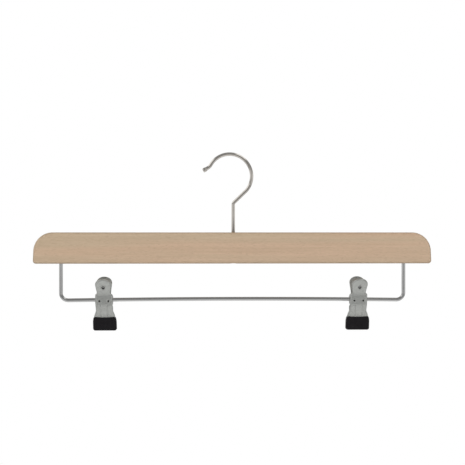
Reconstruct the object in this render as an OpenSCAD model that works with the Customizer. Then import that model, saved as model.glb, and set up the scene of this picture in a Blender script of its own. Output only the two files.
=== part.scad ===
// Trouser hanger: a flat wooden bar on a swivelling wire hook, with a wire rod under
// the bar that carries two sprung clips. The clips slide along the rod and swing on it.
// The origin is the hook's seat, where it rests on a rail. +X runs along the bar to
// the right, +Y points away from the viewer and +Z is up. Sizes are in millimetres.

/* [Wooden bar] */
// Length of the bar
bar_l = 380; // [340:1:420]
// Height of the bar
bar_h = 30; // [28:0.5:36]
// Thickness of the bar
bar_t = 12.5; // [11:0.5:16]
// Radius of the two upper corners, seen from the front
bar_top_r = 18.2; // [10:0.1:22]
// Radius of the two lower corners, seen from the front
bar_foot_r = 3; // [2.8:0.1:5]
// How far the upper corners stand in from the lower ones
bar_lean = 0.4; // [0:0.1:2]
// Rounding along all edges of the bar
bar_edge_r = 2.4; // [1:0.1:2.6]
// Distance from the hook's seat down to the top of the bar
bar_drop = 73.2; // [66:0.1:90]

/* [Hook] */
// Diameter of the hook's wire
hook_wire_d = 3.5; // [3:0.1:4]
// Inner radius of the hook's round part
hook_inner_r = 19.35; // [16:0.05:24]
// How far the shank stands to the right of the round part's centre
swivel_x = 3.4; // [0:0.1:6]
// Direction of the straight neck, in degrees above the horizontal
neck_heading = 43.65; // [35:0.05:55]
// Radius of the bend between shank and neck, on the wire's centre line
neck_bend_r = 3.2; // [3:0.1:6]
// Angle at which the round part ends and the lip turns outwards
hook_end_angle = 150; // [130:1:170]
// Radius of the outward turn before the tip, on the wire's centre line
lip_bend_r = 8; // [5:0.5:12]
// How far the lip turns outwards, in degrees
lip_turn = 30; // [15:1:50]
// Length of the straight piece from the lip to the end of the tip
tip_l = 5; // [4:0.1:8]
// Diameter of the thickened, rounded tip
tip_d = 4.2; // [3.8:0.1:5]

/* [Hook fastening] */
// Diameter of the counterbore under the bar that takes washer and nut
counterbore_d = 9.6; // [9.2:0.1:10.4]
// Depth of that counterbore
counterbore_depth = 9; // [7:0.5:14]
// Outer diameter of the washer
washer_d = 9; // [7:0.1:9.1]
// Thickness of the washer
washer_t = 0.8; // [0.5:0.1:1]
// Width across the flats of the nut
nut_af = 6.5; // [6:0.1:7]
// Height of the nut
nut_h = 2.6; // [2:0.1:3.2]

/* [Trouser rod] */
// Diameter of the rod
rod_d = 3.6; // [3:0.1:4]
// Distance between the centre lines of the rod's two legs
rod_span = 327.8; // [300:0.2:350]
// Distance from the bar's underside down to the rod's centre, at the middle
rod_drop = 33.5; // [32.5:0.1:45]
// How much lower the rod lies at its bends than in the middle
rod_bow = 1.1; // [0.6:0.1:1.1]
// Radius of the rod's two bends, on its centre line
rod_bend_r = 7; // [5:0.5:12]
// Depth of the blind holes that hold the rod's ends
rod_hole_depth = 14; // [10:0.5:18]

/* [Clips] */
// Place of the left clip along the bar, from the bar's middle
left_clip_x = -123; // [-145:1:-20]
// Place of the right clip along the bar, from the bar's middle
right_clip_x = 120; // [20:1:145]
// Thickness of the clips' sheet steel
sheet = 0.9; // [0.8:0.1:1]
// Half width over the front jaw's ears
front_ear_x = 8.6; // [8.4:0.1:9]
// Half width over the rear jaw's ears, which sit inside the front ones
rear_ear_x = 7.5; // [7.3:0.1:7.5]
// Distance from the pivot to the outer face of a jaw's upright wall
wall_y = 6.15; // [6:0.05:6.8]
// Radius of the round ears about the pivot
ear_r = 4.8; // [4.5:0.1:4.9]
// Tilt of the finger pads from the upright, in degrees
pad_tilt = 27; // [20:1:30]
// Height of the front finger pad's centre over the pivot
pad_z = 14.4; // [13.5:0.1:16]
// Radius of the finger pads over their turned rims
pad_r = 7.1; // [6.6:0.1:7.2]
// How much taller the rear jaw's finger pad stands
rear_pad_rise = 1.2; // [0:0.1:2]
// Half width of the narrow waist under a finger pad
waist_x = 6.4; // [5.6:0.1:6.5]
// Half width of a jaw's lower body
body_x = 8.2; // [7.8:0.1:8.4]
// Half width of a jaw's flared end
blade_x = 10.2; // [9.4:0.1:10.4]
// Distance from the pivot down to the end of a jaw
blade_z = 28.2; // [26:0.1:29]

/* [Pivot tube and spring] */
// Outer diameter of the pivot tube
tube_d = 6.2; // [6:0.1:6.2]
// Inner diameter of the pivot tube, in which the rod runs loosely
tube_bore_d = 5; // [5:0.1:5.2]
// Diameter of the spring's wire
spring_wire_d = 1.1; // [0.8:0.1:1.1]
// Radius of the spring's coil, on the wire's centre line
coil_r = 3.95; // [3.9:0.05:4]
// Whole turns of the coil, to which half a turn is added
coil_turns = 3; // [2:1:3]
// Width of the coil between the centres of its end turns
coil_w = 5.8; // [5.2:0.1:5.8]

/* [Sleeves] */
// Half width of a sleeve at its widest
sleeve_x = 11.4; // [11.2:0.1:12]
// Half width of a sleeve at its mouth
sleeve_mouth_x = 10.7; // [10.6:0.1:11]
// Wall thickness of a sleeve
sleeve_wall = 1.2; // [1:0.1:1.3]
// Distance from the pivot down to a sleeve's mouth
sleeve_top_z = 16.1; // [16:0.1:18]
// Distance from the pivot down to a sleeve's closed end
sleeve_end_z = 29.6; // [29.4:0.1:31]

/* [Hidden] */

// Facets of large rounds, of wires and small rounds, and of small edge roundings
large_fn = 96;
wire_fn = 48;
edge_fn = 24;
// Bent wire is this much thicker in its bends, and straight wire runs this far into them
bend_swell = 0.03;
wire_lap = 0.3;
// Clearance of a turning part, of the clip ears on each other and of seated parts
turn_gap = 0.05;
face_gap = 0.1;
seat_gap = 0.05;

hook_r = hook_wire_d / 2;
hook_bend_r = hook_inner_r + hook_r;
bar_top_z = -bar_drop;
bar_foot_z = bar_top_z - bar_h;

// The neck leaves the shank's bend and runs as a tangent into the round part
neck_turn = 90 - neck_heading;
neck_dir = [cos(neck_heading), sin(neck_heading)];
neck_top = [0, -hook_inner_r] + hook_bend_r * [cos(neck_turn), -sin(neck_turn)];
neck_foot_x = swivel_x + neck_bend_r * (1 - cos(neck_turn));
neck_l = (neck_top.x - neck_foot_x) / neck_dir.x;
neck_foot = neck_top - neck_l * neck_dir;
shank_top_z = neck_foot.y - neck_bend_r * sin(neck_turn);

// The lip turns about a point outside the round part
lip_start = [0, -hook_inner_r] + hook_bend_r * [cos(hook_end_angle), sin(hook_end_angle)];
lip_centre = lip_start + lip_bend_r * [cos(hook_end_angle), sin(hook_end_angle)];
lip_from = hook_end_angle - 180;
lip_to = lip_from - lip_turn;
lip_end = lip_centre + lip_bend_r * [cos(lip_to), sin(lip_to)];
tip_heading = lip_to - 90;

shoulder_z = bar_foot_z + counterbore_depth;
nut_top_z = shoulder_z - washer_t - face_gap;
shank_end_z = nut_top_z - nut_h - 1;

// The rod's long run is one flat arc that meets both bends as a tangent
rod_r = rod_d / 2;
rod_mid_z = bar_foot_z - rod_drop;
rod_half = rod_span / 2 - rod_bend_r;
rod_slope = 2 * atan(rod_bow / rod_half);
rod_arc_r = rod_half / sin(rod_slope) - rod_bend_r;
rod_bend_z = rod_mid_z - rod_bow + rod_bend_r;
pivot_z = rod_mid_z - rod_bow / 2;

// The jaws' side view: upright wall at the pivot, pad leaning out above it
wall_top_z = 5.8;
wall_foot_z = -5;
knee_z = -15.6;
fold_r = 2.4;
blade_y = sleeve_wall + face_gap + sheet + seat_gap;
body_slope = atan((wall_y - blade_y) / (wall_foot_z - knee_z));
tube_half = front_ear_x + seat_gap;
tube_flange_t = 0.45;
tube_flange_d = 8;

// The front view: rolled edge, shoulder above the ear, waist, and where the body flares
rim_r = 1.5;
corner_r = 1.9;
waist_r = 1.4;
front_shoulder_turn = 65;
rear_shoulder_turn = 50;
ear_top_s = 4;
ear_foot_s = -4.5;
ear_span = 110;
flare_s = -10.8;
flare_l = 6.2;

spring_hole_z = 12.5;
spring_hole_r = 1;
dish_r = 2.4;
dish_depth = 0.45;
dimple_x = 4.15;
dimple_z = -0.73;
dimple_r = 1.1;
dimple_out = 0.4;
rib_x = 3.6;
rib_r = 0.9;
rib_proud = 0.35;

function along(c, r, a) = c + r * [cos(a), sin(a)];
function arc(c, r, from, to, n) = [for (i = [0:n]) along(c, r, from + (to - from) * i / n)];

// A pad's middle, on the sheet's centre plane, for a pad whose centre is at height z
function pad_y(z) =
    wall_y + (z - sheet / 2 * sin(pad_tilt) - wall_top_z) * tan(pad_tilt) - sheet / 2 * cos(pad_tilt);

// Wire pieces in the XZ plane: an arc about c, and a straight run from p along a heading
module wire_arc(c, bend, r, from, to) {
    translate([c.x, 0, c.y])
    rotate([90, 0, 0])
    rotate([0, 0, from])
    rotate_extrude(angle = to - from, $fn = large_fn)
    translate([bend, 0])
    circle(r, $fn = wire_fn);
}

module wire_run(p, heading, length, r) {
    translate([p.x, 0, p.y])
    rotate([0, 90 - heading, 0])
    cylinder(h = length, r = r, $fn = wire_fn);
}

// A quarter disc on its edge whose rim is rounded, for a corner of the bar
module corner_disc(r, from, fn) {
    flat = bar_t / 2 - bar_edge_r;
    rotate([90, 0, 0])
    rotate([0, 0, from])
    rotate_extrude(angle = 90, $fn = fn)
    polygon(concat(
        [[0, -bar_t / 2]],
        arc([r - bar_edge_r, -flat], bar_edge_r, -90, 0, 5),
        arc([r - bar_edge_r, flat], bar_edge_r, 0, 90, 5),
        [[0, bar_t / 2]]
    ));
}

module bar_blank() {
    top_x = bar_l / 2 - bar_lean - bar_top_r;
    foot_x = bar_l / 2 - bar_foot_r;
    hull()
    for (side = [0, 1])
        mirror([side, 0, 0]) {
            translate([top_x, 0, bar_top_z - bar_top_r]) corner_disc(bar_top_r, 0, 64);
            translate([foot_x, 0, bar_foot_z + bar_foot_r]) corner_disc(bar_foot_r, -90, 32);
        }
}

module wooden_bar() {
    color("burlywood")
    translate([swivel_x, 0, 0])
    difference() {
        bar_blank();
        translate([0, 0, bar_foot_z - 1])
        cylinder(h = bar_h + 2, r = hook_r + 2 * turn_gap, $fn = wire_fn);
        translate([0, 0, bar_foot_z - 1])
        cylinder(h = counterbore_depth + 1, d = counterbore_d, $fn = wire_fn);
        for (side = [-1, 1])
            translate([side * rod_span / 2, 0, bar_foot_z - 1])
            cylinder(h = rod_hole_depth + 1, r = rod_r, $fn = wire_fn);
    }
}

// The tip of the hook: a short upset barrel with rounded edges
module hook_tip() {
    barrel_l = 3;
    round_r = 0.9;
    translate([lip_end.x, 0, lip_end.y])
    rotate([0, 90 - tip_heading, 0])
    translate([0, 0, tip_l - barrel_l])
    rotate_extrude($fn = wire_fn)
    polygon(concat(
        [[0, 0]],
        arc([tip_d / 2 - round_r / 2, round_r / 2], round_r / 2, -90, 0, 4),
        arc([tip_d / 2 - round_r, barrel_l - round_r], round_r, 0, 90, 6),
        [[0, barrel_l]]
    ));
}

module swivel_hook() {
    bent_r = hook_r + bend_swell;
    lap_turn = wire_lap / lip_bend_r * 180 / PI;
    color("lightgray") {
        wire_run([swivel_x, shank_end_z], 90, shank_top_z - shank_end_z + wire_lap, hook_r);
        translate([swivel_x, 0, shank_end_z - 0.3]) cylinder(h = 0.9, r1 = 1.7, r2 = 2.1, $fn = wire_fn);
        wire_arc([swivel_x + neck_bend_r, shank_top_z], neck_bend_r, bent_r, 180 - neck_turn, 180);
        wire_run(neck_foot - wire_lap * neck_dir, neck_heading, neck_l + 2 * wire_lap, hook_r);
        wire_arc([0, -hook_inner_r], hook_bend_r, bent_r, -neck_turn, hook_end_angle);
        wire_arc(lip_centre, lip_bend_r, hook_r, lip_to - lap_turn, lip_from + lap_turn);
        wire_run(lip_end, tip_heading, tip_l - 1, bent_r);
        hook_tip();
    }
}

module hook_washer() {
    color("silver")
    translate([swivel_x, 0, shoulder_z - washer_t])
    difference() {
        cylinder(h = washer_t, d = washer_d, $fn = wire_fn);
        translate([0, 0, -1]) cylinder(h = washer_t + 2, r = hook_r + 2 * turn_gap, $fn = wire_fn);
    }
}

module hook_nut() {
    corner_r = nut_af / 2 / cos(30);
    color("silver")
    translate([swivel_x, 0, nut_top_z - nut_h])
    difference() {
        intersection() {
            cylinder(h = nut_h, r = corner_r, $fn = 6);
            cylinder(h = nut_h, r1 = nut_af / 2, r2 = nut_af / 2 + nut_h * 1.6, $fn = wire_fn);
        }
        translate([0, 0, -1]) cylinder(h = nut_h + 2, r = hook_r, $fn = wire_fn);
    }
}

module trouser_rod() {
    bent_r = rod_r + bend_swell;
    arc_lap = wire_lap / rod_arc_r * 180 / PI;
    color("silver")
    translate([swivel_x, 0, 0]) {
        wire_arc([0, rod_mid_z - rod_arc_r], rod_arc_r, rod_r,
            90 - rod_slope - arc_lap, 90 + rod_slope + arc_lap);
        for (side = [0, 1])
            mirror([side, 0, 0]) {
                wire_arc([rod_half, rod_bend_z], rod_bend_r, bent_r, -90 - rod_slope, 0);
                wire_run([rod_span / 2, rod_bend_z - wire_lap], 90,
                    bar_foot_z + rod_hole_depth - rod_bend_z + wire_lap, rod_r);
            }
    }
}

// Clip pieces are drawn about the pivot, with the front of the clip towards -Y.
// The side view of a jaw's outer face, walked from the pivot's height in [length, turn] steps.
// Both walks give distance outwards, height and lean at length s along the face.
function walk(steps, s, p = [wall_y, 0], lean = 0, i = 0) =
    let (
        part = min(s / steps[i].x, 1),
        turn = steps[i].y * part,
        bend = steps[i].x / (steps[i].y * PI / 180),
        q = p + (steps[i].y == 0 ? steps[i].x * part * [sin(lean), cos(lean)]
            : bend * [cos(lean) - cos(lean + turn), sin(lean + turn) - sin(lean)])
    )
    part < 1 || i == len(steps) - 1 ? [q.x, q.y, lean + turn] : walk(steps, s - steps[i].x, q, lean + turn, i + 1);

pad_steps = [[wall_top_z - fold_r * tan(pad_tilt / 2), 0], [fold_r * pad_tilt * PI / 180, pad_tilt], [40, 0]];
body_steps = [
    [-wall_foot_z - fold_r * tan(body_slope / 2), 0],
    [fold_r * body_slope * PI / 180, -body_slope],
    [norm([wall_y - blade_y, wall_foot_z - knee_z]) - 2 * fold_r * tan(body_slope / 2), 0],
    [fold_r * body_slope * PI / 180, body_slope],
    [knee_z + blade_z - fold_r * tan(body_slope / 2), 0]
];
blade_end_s = -(body_steps[0].x + body_steps[1].x + body_steps[2].x + body_steps[3].x + body_steps[4].x);

// A point at x across and s along the face, sunk by depth behind it
function on_face(x, s, depth) =
    let (w = walk(s < 0 ? body_steps : pad_steps, abs(s)), up = s < 0 ? -1 : 1)
    [x, depth * cos(w.z) - w.x, up * (w.y + depth * sin(w.z))];

function ease(t) = let (u = max(0, min(1, t))) u * u * (3 - 2 * u);

// The edge of a jaw is rolled back by turn, past which a flange of the given length runs straight
function roll(x, s, normal, turn, flange, i, inner) =
    let (
        spare = turn > 80 ? 0 : max(0, rim_r * (1 - sin(turn)) / cos(turn) - flange),
        bent = rim_r * turn * PI / 180,
        q = i > 3 ? bent + spare + flange : (bent + spare) * i / 3,
        t = min(q / rim_r * 180 / PI, turn),
        run = max(0, q - bent),
        r = inner ? rim_r - sheet : rim_r,
        inset = rim_r - r * sin(t) - run * cos(t),
        depth = rim_r - r * cos(t) + run * sin(t)
    )
    on_face(x - inset * cos(normal), s - inset * sin(normal), depth);

// Rows of a jaw's half outline, from the blade's end to the top of the pad: across, along,
// the outline's normal, the turn of its edge, the flange, and for the ears their angle
function half_rows(ear_x, shoulder_turn, pad_top) =
    let (
        pad_s = (pad_top - wall_top_z) / cos(pad_tilt) + wall_top_z,
        corner = [ear_x - corner_r, ear_top_s],
        slant = ear_x - corner_r + (corner_r + waist_r) * cos(shoulder_turn) - waist_r - waist_x,
        out = [cos(shoulder_turn), sin(shoulder_turn)],
        waist = corner + (corner_r + waist_r) * out + max(0.05, slant) * [-out.y, out.x],
        reach = norm(waist - [0, pad_s]),
        pad_from = atan2(waist.y - pad_s, waist.x) + acos((pad_r + waist_r) / reach)
    )
    concat(
        [for (s = [blade_end_s, -18.2]) [blade_x, s, 0, 0, 0.3]],
        [for (u = [5:-1:1])
            let (s = flare_s - flare_l * u / 5)
            [body_x + (blade_x - body_x) * ease(u / 5),
             s, atan(6 * (blade_x - body_x) / flare_l * u / 5 * (1 - u / 5)),
             90 * ease((s + 17.2) / 3.4), 0.3 + 0.6 * ease((s + 15) / 3)]],
        [for (s = [flare_s, -8.4]) [body_x, s, 0, 90, 0.9]],
        [for (u = [1, 2]) [body_x + (ear_x - body_x) * ease(u / 2.5), -8.4 + 1.3 * u, 0, 90, 0.9]],
        [for (i = [0:8])
            [ear_x, ear_foot_s + (ear_top_s - ear_foot_s) * i / 8, 0, 90, 1, ear_span * (i / 4 - 1)]],
        [for (i = [1:3])
            let (a = shoulder_turn * i / 3)
            [corner.x + corner_r * cos(a), corner.y + corner_r * sin(a), a, 90, 1.6 - 0.4 * i]],
        [for (i = [0:4])
            let (a = shoulder_turn + (pad_from - shoulder_turn) * i / 4)
            [waist.x - waist_r * cos(a), waist.y - waist_r * sin(a), a, 90, 0.4]],
        [for (i = [0:10])
            let (a = pad_from + (90 - pad_from) * i / 10)
            [pad_r * cos(a), pad_s + pad_r * sin(a), a, 90, 0.4]]
    );

// One row as a closed loop: the outer skin from left to right, then the inner one back
function jaw_loop(row) =
    let (
        at = function(i, inner)
            i > 3 && len(row) > 5
            ? [row[0] - (inner ? sheet : 0), ear_r * cos(row[5]), ear_r * sin(row[5])]
            : roll(row[0], row[1], row[2], row[3], row[4], i, inner),
        outer = [for (i = [0:4]) at(i, false)],
        inner = [for (i = [0:4]) at(i, true)]
    )
    concat(
        [for (i = [4:-1:0]) [-outer[i].x, outer[i].y, outer[i].z]], outer,
        [for (i = [4:-1:0]) inner[i]], [for (p = inner) [-p.x, p.y, p.z]]
    );

// The bent sheet of a jaw as one loft. At the top of the pad both sides meet in one line.
module jaw_sheet(ear_x, shoulder_turn, pad_top) {
    rows = half_rows(ear_x, shoulder_turn, pad_top);
    loops = [for (row = rows) jaw_loop(row)];
    n = len(loops[0]);
    last = len(loops) - 1;
    corner = function(j, k)
        j < last ? j * n + k : j * n + (k < n / 2 ? min(k, n / 2 - 1 - k) : min(k, 3 * n / 2 - 1 - k));
    // The diagonals run from the ears' flange outwards, so that no triangle crosses an ear's edge
    faces = [for (j = [0:last - 1], k = [0:n - 1])
        let (
            m = (k + 1) % n,
            q = [corner(j, k), corner(j + 1, k), corner(j + 1, m), corner(j, m)],
            to_edge = k % (n / 2) >= n / 4,
            above = rows[j][1] > 0
        )
        each to_edge == above ? [[q[0], q[1], q[2]], [q[0], q[2], q[3]]] : [[q[0], q[1], q[3]], [q[1], q[2], q[3]]]];
    polyhedron(
        points = [for (l = loops) each l],
        faces = concat(
            [for (k = [0:n / 2 - 2]) each [[k, k + 1, n - 1 - k], [k + 1, n - 2 - k, n - 1 - k]]],
            [for (f = faces) if (f[0] != f[1] && f[1] != f[2] && f[2] != f[0]) f]
        )
    );
}

// A pressed rib on the sloping body, half sunk in the sheet
module body_rib(x) {
    slope = atan((wall_y - blade_y) / (wall_foot_z - knee_z));
    translate([x, -blade_y, knee_z])
    rotate([slope, 0, 0])
    translate([0, 0, 0.4])
    intersection() {
        translate([0, rib_r - rib_proud, 0]) cylinder(h = 9.6, r = rib_r, $fn = wire_fn);
        translate([-rib_r, -1, 0]) cube([2 * rib_r, 1 + sheet / 2, 9.6]);
    }
}

// The dish pressed round a pad's spring hole: a cone whose small end is towards the clip's inside
module spring_dish(hole_y, wide, narrow, from, depth) {
    translate([0, -hole_y, spring_hole_z])
    rotate([pad_tilt - 90, 0, 0])
    translate([0, 0, from])
    cylinder(h = depth, r1 = wide, r2 = narrow, $fn = wire_fn);
}

// One jaw, with its front side out towards -Y
module jaw(ear_x, shoulder_turn, rise) {
    hole_y = pad_y(spring_hole_z);
    half = sheet / 2;
    difference() {
        union() {
            jaw_sheet(ear_x, shoulder_turn, pad_z + rise);
            spring_dish(hole_y, dish_r, spring_hole_r + 0.6, half - 0.1, dish_depth + 0.1);
            for (side = [-1, 1]) {
                body_rib(side * rib_x);
                intersection() {
                    dimple(side, dimple_r + sheet * 0.65);
                    translate([side * dimple_x, -wall_y + 2, dimple_z]) cube([5, 3.2, 5], center = true);
                }
            }
        }
        for (side = [-1, 1]) dimple(side, dimple_r);
        translate([-20, 0, 0]) rotate([0, 90, 0]) cylinder(h = 40, r = tube_d / 2 + turn_gap, $fn = wire_fn);
        spring_dish(hole_y, dish_r + dish_depth, spring_hole_r, -half - dish_depth, 2 * dish_depth);
        translate([0, -hole_y, spring_hole_z])
        rotate([90 + pad_tilt, 0, 0])
        cylinder(h = 4, r = spring_hole_r, center = true, $fn = wire_fn);
    }
}

module dimple(side, r) {
    translate([side * dimple_x, -wall_y - dimple_out, dimple_z]) sphere(r, $fn = wire_fn);
}

// A soft sleeve pulled over the flared end of a jaw, with ribs across its gripping face
module sleeve() {
    outer_y = blade_y + sleeve_wall;
    edge = 0.9;
    lip = 0.35;
    groove_pitch = 2.4;
    groove_l = 2 * sleeve_x - 3.6;
    mouth_r = 88;
    difference() {
        hull()
        for (turn = [0:30:90])
            let (inset = edge * (1 - cos(turn)), low = 1.4 * edge * (1 - sin(turn)), rise = lip * (1 - sin(turn)))
            translate([0, -face_gap - rise, 0])
            rotate([90, 0, 0])
            linear_extrude(outer_y - face_gap - low - rise)
            offset(r = 2 - inset, $fn = edge_fn)
            offset(delta = -2)
            polygon([
                [-sleeve_x, -sleeve_end_z], [sleeve_x, -sleeve_end_z],
                [sleeve_x, -sleeve_top_z - 4.4], [sleeve_mouth_x, -sleeve_top_z],
                [-sleeve_mouth_x, -sleeve_top_z], [-sleeve_x, -sleeve_top_z - 4.4]
            ]);
        translate([-blade_x - seat_gap, -blade_y - seat_gap, -blade_z])
        cube([2 * (blade_x + seat_gap), sheet + 2 * seat_gap, 20]);
        translate([0, 0, mouth_r - sleeve_top_z - 0.65])
        rotate([90, 0, 0])
        cylinder(h = 20, r = mouth_r, center = true, $fn = 256);
        for (i = [1:4])
            translate([-groove_l / 2, -face_gap - 0.35, -sleeve_top_z - 0.6 - i * groove_pitch])
            cube([groove_l, 1, groove_pitch / 2]);
    }
}

// The hollow pivot pin: a tube with both ends flared over the ears
module pivot_tube() {
    rotate([0, 90, 0])
    rotate_extrude($fn = wire_fn)
    polygon([
        [tube_bore_d / 2, -tube_half - tube_flange_t], [tube_flange_d / 2 - 0.2, -tube_half - tube_flange_t],
        [tube_flange_d / 2, -tube_half - tube_flange_t + 0.2], [tube_flange_d / 2, -tube_half],
        [tube_d / 2, -tube_half], [tube_d / 2, tube_half],
        [tube_flange_d / 2, tube_half], [tube_flange_d / 2, tube_half + tube_flange_t - 0.2],
        [tube_flange_d / 2 - 0.2, tube_half + tube_flange_t], [tube_bore_d / 2, tube_half + tube_flange_t]
    ]);
}

// The torsion spring is one wire: a leg hooked in the front pad's hole, the coil about
// the tube, and a leg hooked in the rear pad's hole. The legs' points were set by eye.
spring_leg = [
    [0, 9.9, 12], [0, 9, 12.5], [0, 8.2, 13], [0, 7.5, 13.3], [0, 6.9, 13], [0.2, 6.5, 12.2],
    [0.7, 5.9, 10.4], [1.6, 5.1, 8], [2.4, 4.5, 5.4], [2.8, 4.15, 2.8], [2.9, 4, 1.2]
];
coil_steps = (coil_turns + 0.5) * 8;
coil_path = [for (i = [0:coil_steps])
    let (a = 180 + i * 45)
    [coil_w * (i / coil_steps - 0.5), coil_r * cos(a), coil_r * sin(a)]];
spring_path = concat(
    [for (p = spring_leg) [-p.x, -p.y, p.z]],
    coil_path,
    [for (i = [len(spring_leg) - 1:-1:0]) spring_leg[i]]
);
spring_gap = min([for (i = [0:len(spring_path) - 1], j = [i + 6:1:len(spring_path) - 1])
    norm(spring_path[i] - spring_path[j])]) - spring_wire_d;
echo("least gap of the spring to itself, in mm", spring_gap);

function unit(v) = v / norm(v);
function heading_at(path, i) = unit(path[min(i + 1, len(path) - 1)] - path[max(i - 1, 0)]);
// Each ring keeps the last ring's side direction, turned square to the new heading
function ring_sides(path, side, i = 0) = i == len(path) ? [] :
    let (t = heading_at(path, i), s = unit(side - (side * t) * t))
    concat([s], ring_sides(path, s, i + 1));

module wire_along(path, r, n) {
    sides = ring_sides(path, [1, 0, 0]);
    points = [for (i = [0:len(path) - 1])
        let (s = sides[i], u = cross(heading_at(path, i), s))
        for (k = [0:n - 1]) path[i] + r * (cos(k * 360 / n) * s + sin(k * 360 / n) * u)];
    last = (len(path) - 1) * n;
    faces = concat(
        [[for (k = [0:n - 1]) k]],
        [for (i = [0:len(path) - 2], k = [0:n - 1]) [i * n + k, (i + 1) * n + k, i * n + (k + 1) % n]],
        [for (i = [0:len(path) - 2], k = [0:n - 1])
            [(i + 1) * n + k, (i + 1) * n + (k + 1) % n, i * n + (k + 1) % n]],
        [[for (k = [n - 1:-1:0]) last + k]]
    );
    polyhedron(points, faces);
}

module at_clip(x) {
    translate([swivel_x + x, 0, pivot_z]) children();
}

module front_jaw_at(x) {
    color("gainsboro") at_clip(x) jaw(front_ear_x, front_shoulder_turn, 0);
}

module rear_jaw_at(x) {
    color("gainsboro") at_clip(x) mirror([0, 1, 0]) jaw(rear_ear_x, rear_shoulder_turn, rear_pad_rise);
}

module spring_at(x) {
    color("silver") at_clip(x) wire_along(spring_path, spring_wire_d / 2, 6);
}

module front_sleeve_at(x) {
    color("dimgray") at_clip(x) sleeve();
}

module rear_sleeve_at(x) {
    color("dimgray") at_clip(x) mirror([0, 1, 0]) sleeve();
}

module tube_at(x) {
    color("silver") at_clip(x) pivot_tube();
}

wooden_bar();
swivel_hook();
hook_washer();
hook_nut();
trouser_rod();
tube_at(left_clip_x);  // left_pivot_tube
front_jaw_at(left_clip_x);  // left_front_jaw
rear_jaw_at(left_clip_x);  // left_rear_jaw
spring_at(left_clip_x);  // left_torsion_spring
front_sleeve_at(left_clip_x);  // left_front_sleeve
rear_sleeve_at(left_clip_x);  // left_rear_sleeve
tube_at(right_clip_x);  // right_pivot_tube
front_jaw_at(right_clip_x);  // right_front_jaw
rear_jaw_at(right_clip_x);  // right_rear_jaw
spring_at(right_clip_x);  // right_torsion_spring
front_sleeve_at(right_clip_x);  // right_front_sleeve
rear_sleeve_at(right_clip_x);  // right_rear_sleeve
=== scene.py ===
"""The looks of a trouser hanger: finely modelled pieces, finishes, studio and camera."""
import bmesh
import bpy
import math
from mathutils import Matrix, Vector


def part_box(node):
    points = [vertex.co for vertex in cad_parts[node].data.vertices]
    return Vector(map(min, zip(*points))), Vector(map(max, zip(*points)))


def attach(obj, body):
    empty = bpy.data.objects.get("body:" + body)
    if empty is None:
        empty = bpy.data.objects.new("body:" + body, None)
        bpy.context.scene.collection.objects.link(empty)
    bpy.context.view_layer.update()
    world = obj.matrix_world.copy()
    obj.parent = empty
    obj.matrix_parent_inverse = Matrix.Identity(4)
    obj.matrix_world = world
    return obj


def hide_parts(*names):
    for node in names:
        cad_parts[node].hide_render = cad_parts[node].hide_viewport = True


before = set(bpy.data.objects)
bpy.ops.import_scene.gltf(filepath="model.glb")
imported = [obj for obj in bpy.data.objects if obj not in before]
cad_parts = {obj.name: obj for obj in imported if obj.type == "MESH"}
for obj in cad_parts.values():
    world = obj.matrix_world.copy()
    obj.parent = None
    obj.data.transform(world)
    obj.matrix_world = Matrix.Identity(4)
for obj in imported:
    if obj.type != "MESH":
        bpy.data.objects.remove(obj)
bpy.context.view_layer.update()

# Pieces are drawn in millimetres in the hanger's own frame and scaled when they are made
MM = 0.001

# Camera, worked out from the photograph's perspective: the photograph is taken from a
# little to the left, level, and its middle looks at the bar's upper edge
IMAGE_PX = 465
FOCAL_PX = 1150
SENSOR_MM = 36
CAMERA_YAW = math.radians(2.3)
CAMERA_DISTANCE = 1.10
CAMERA_TARGET = Vector((0.0027, 0, -0.0733))

# Sizes of the bar, from the frame
bar_low, bar_high = [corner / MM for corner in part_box("wooden_bar")]
BAR_MIDDLE = (bar_low.x + bar_high.x) / 2
BAR_HALF_L = (bar_high.x - bar_low.x) / 2
BAR_HALF_T = (bar_high.y - bar_low.y) / 2
BAR_TOP_R = 18.2
BAR_FOOT_R = 3
BAR_EDGE_R = 2.4
BAR_LEAN = 0.4
BAR_FOOT_Z = bar_low.z + 0.3
COUNTERBORE_R = 4.8
COUNTERBORE_DEPTH = 9
COUNTERBORE_EASE = 0.5
DRILL_PAST = 1
DRILL_LEAD = 0.3

# Sizes of the hook
HOOK_R = 1.69
HOOK_INNER_R = 19.35
NECK_HEADING = 43.65
NECK_BEND_R = 3.2
HOOK_END_ANGLE = 150
LIP_BEND_R = 8
LIP_TURN = 30
TIP_L = 5
TIP_R = 2.1
TIP_ROUND_R = 0.9
TIP_FACE_R = 0.6
TIP_FACE_RISE = 0.02
SHANK_BELOW_WASHER = 4.8
SHANK_END_Z = bar_low.z + COUNTERBORE_DEPTH - SHANK_BELOW_WASHER
SHANK_CHAMFER = 0.25
SHANK_CHAMFER_L = 0.4
SHANK_PLAY = 0.1
STRAIGHT_BELOW_BEND = 8
THREAD_PITCH = 0.696
THREAD_TURNS = 4
THREAD_STEPS = 12
THREAD_R = 0.19
THREAD_SINK = 0.08
THREAD_START = 0.35
THREAD_FADE = 5
NUT_CHAMFER = 0.75
NUT_MOUTH = 0.5
WASHER_EDGE = 0.15

# Sizes of the rod
ROD_R = 1.8
ROD_SPAN = 327.8
ROD_MIDDLE_Z = bar_low.z - 33.5
ROD_BOW = 1.1
ROD_BEND_R = 7
ROD_HOLE_DEPTH = 14
ROD_HOLE_EASE = 0.4
ROD_LEG_BELOW = 12

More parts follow.
